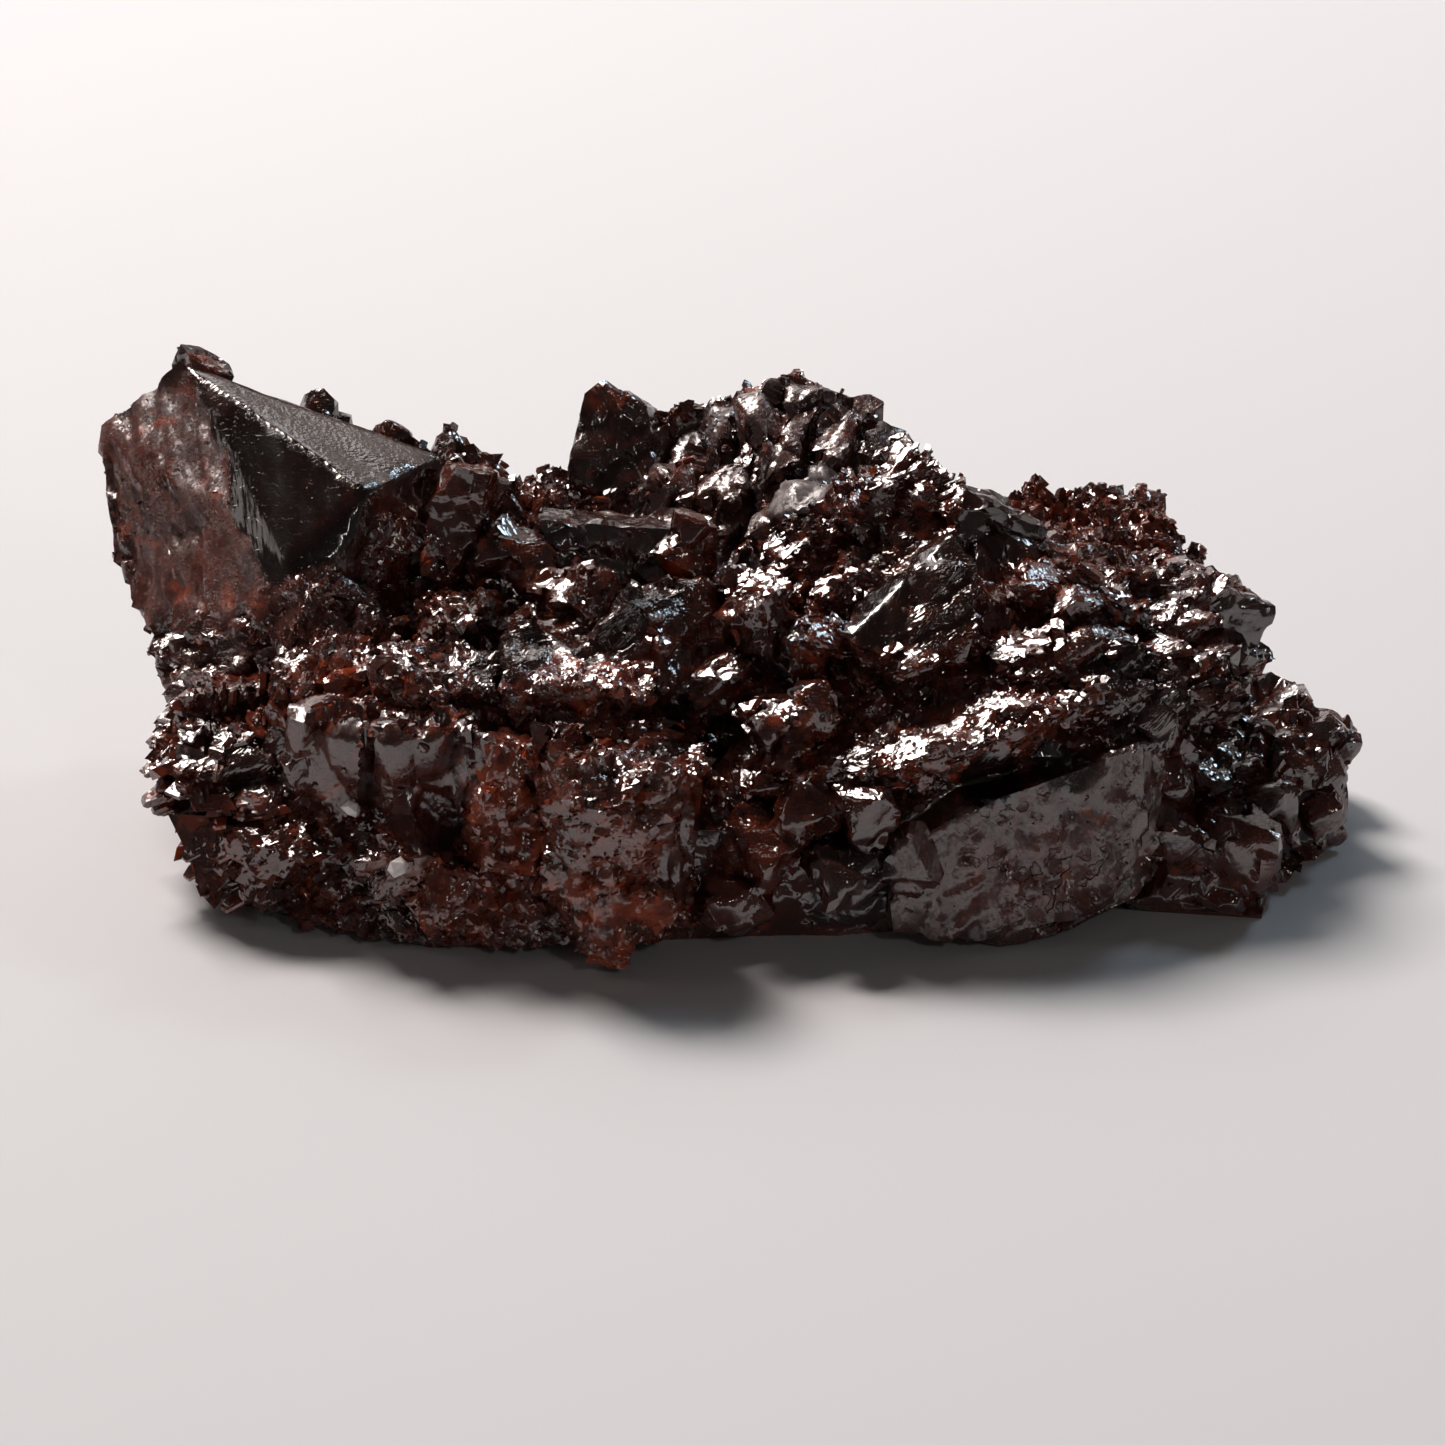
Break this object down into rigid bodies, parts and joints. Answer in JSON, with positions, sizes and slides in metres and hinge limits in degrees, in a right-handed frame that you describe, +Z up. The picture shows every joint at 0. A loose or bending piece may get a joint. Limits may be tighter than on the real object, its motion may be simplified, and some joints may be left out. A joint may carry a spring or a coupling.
{
  "type": "sphalerite specimen",
  "caption": "Hand-sized mineral specimen: dark crystals grown together into a long ragged cluster, with one tall faceted peak, stepped ledges, sparkling slopes and a flat resting base.",
  "frame": {"origin": "middle of the bounding box on the resting plane", "axes": "+X along the cluster towards its low right-hand blocks, -Y towards the viewer, +Z up from the resting base"},
  "size_m": [0.0578, 0.0338, 0.0191],
  "materials": {
    "sphalerite": "resinous to adamantine crystal faces, dark red-brown to near black"
  },
  "bodies": {
    "root": {"sphalerite": "sphalerite"}
  },
  "joints": []
}
